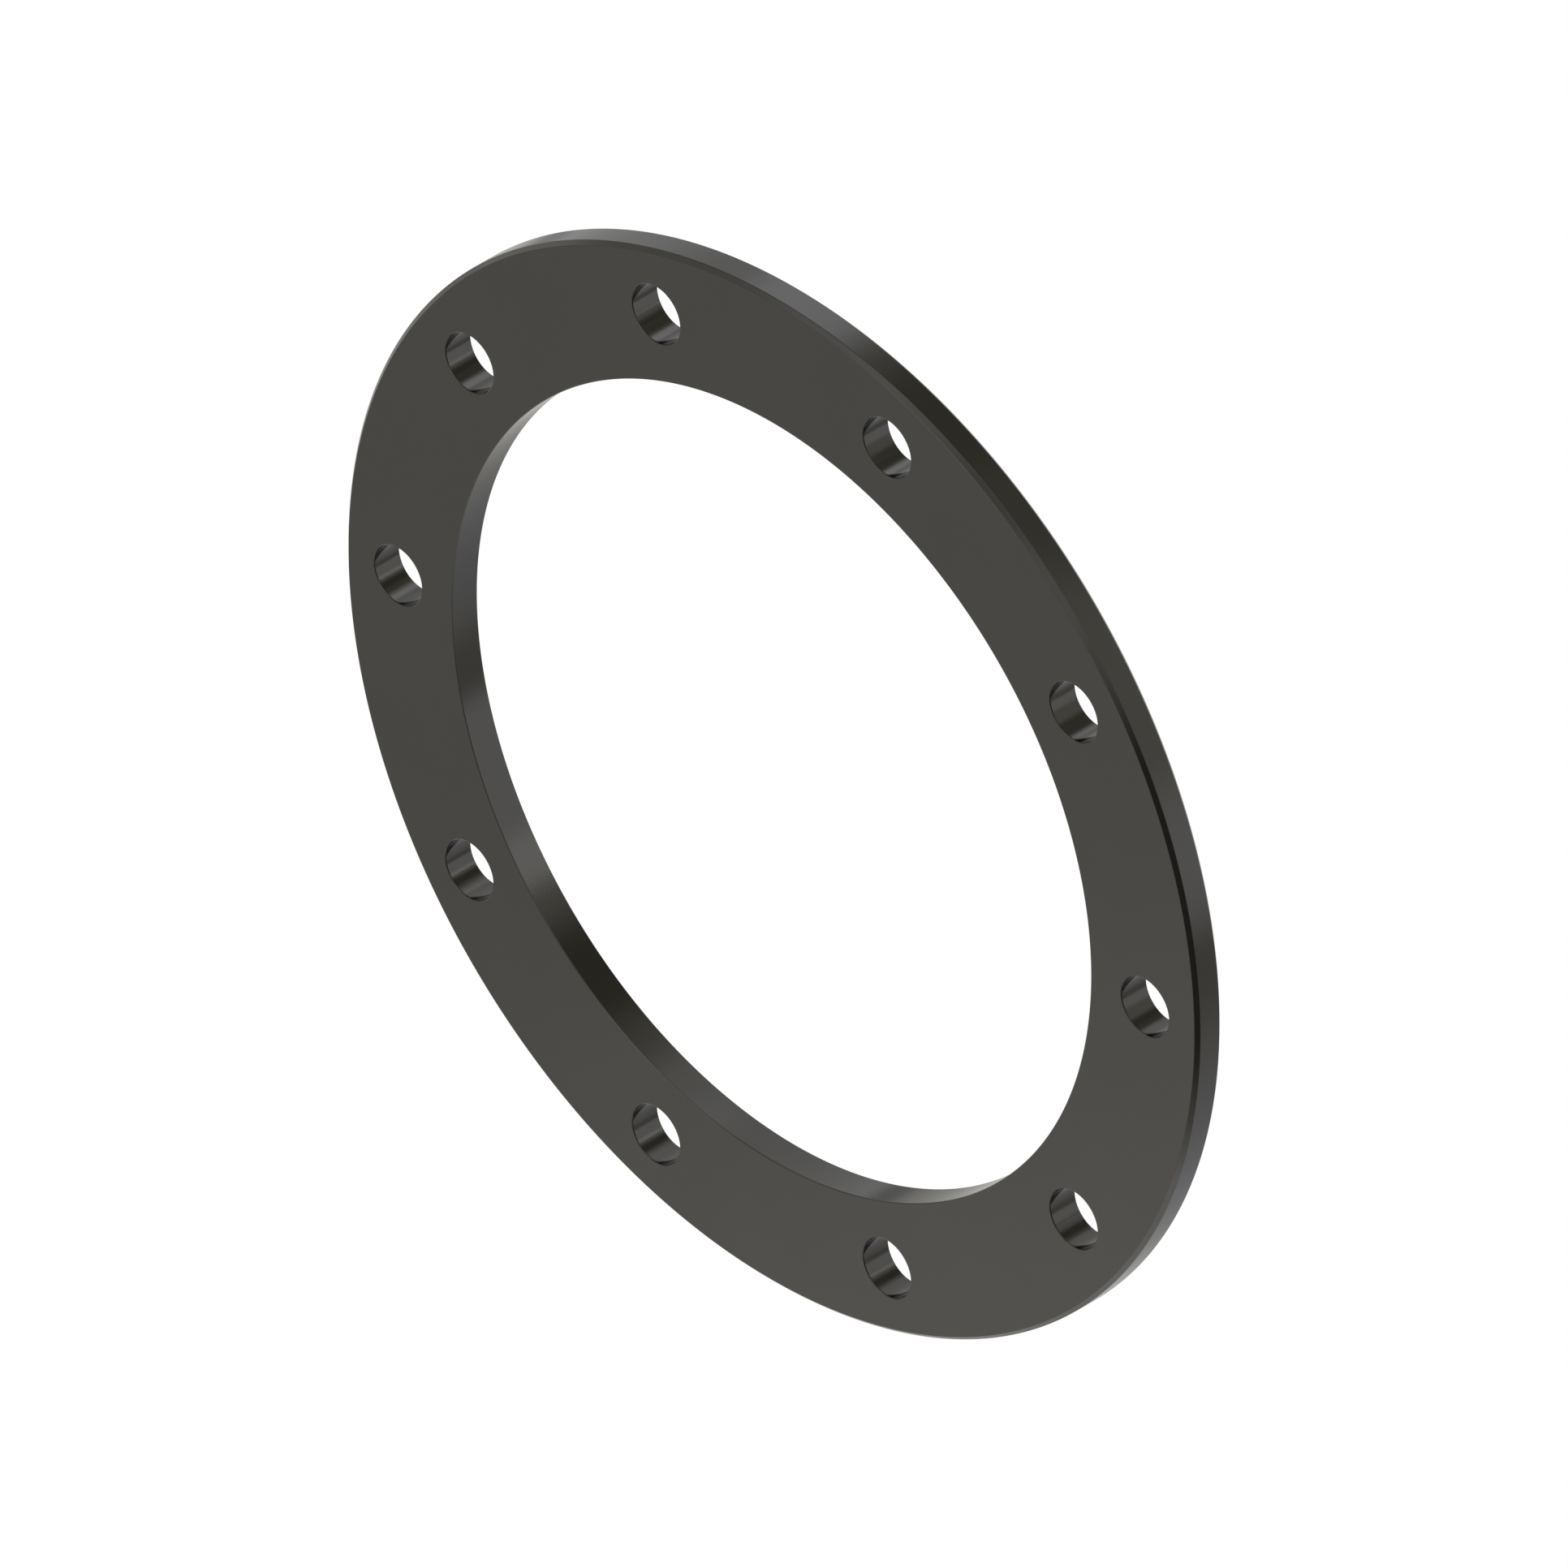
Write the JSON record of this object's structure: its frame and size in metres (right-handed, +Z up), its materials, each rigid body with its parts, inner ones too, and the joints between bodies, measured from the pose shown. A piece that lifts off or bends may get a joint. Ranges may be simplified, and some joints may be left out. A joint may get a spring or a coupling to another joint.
{
  "type": "ring flange",
  "caption": "Flat steel ring flange with a wide open bore, a circle of plain bolt holes and chamfered outer edges, for bolting round pipe or duct ends together.",
  "frame": {"origin": "centre of the bore, halfway through the thickness, which is also the centre of the bolt circle", "axes": "ring stands on edge: -Y is the bore axis towards the front face, +X passes through the first bolt hole, +Z is up"},
  "size_m": [0.269, 0.008, 0.269],
  "materials": {
    "steel": "fine-turned, darkened, satin with a clean sheen"
  },
  "bodies": {
    "root": {"flange_ring": "steel"}
  },
  "joints": []
}
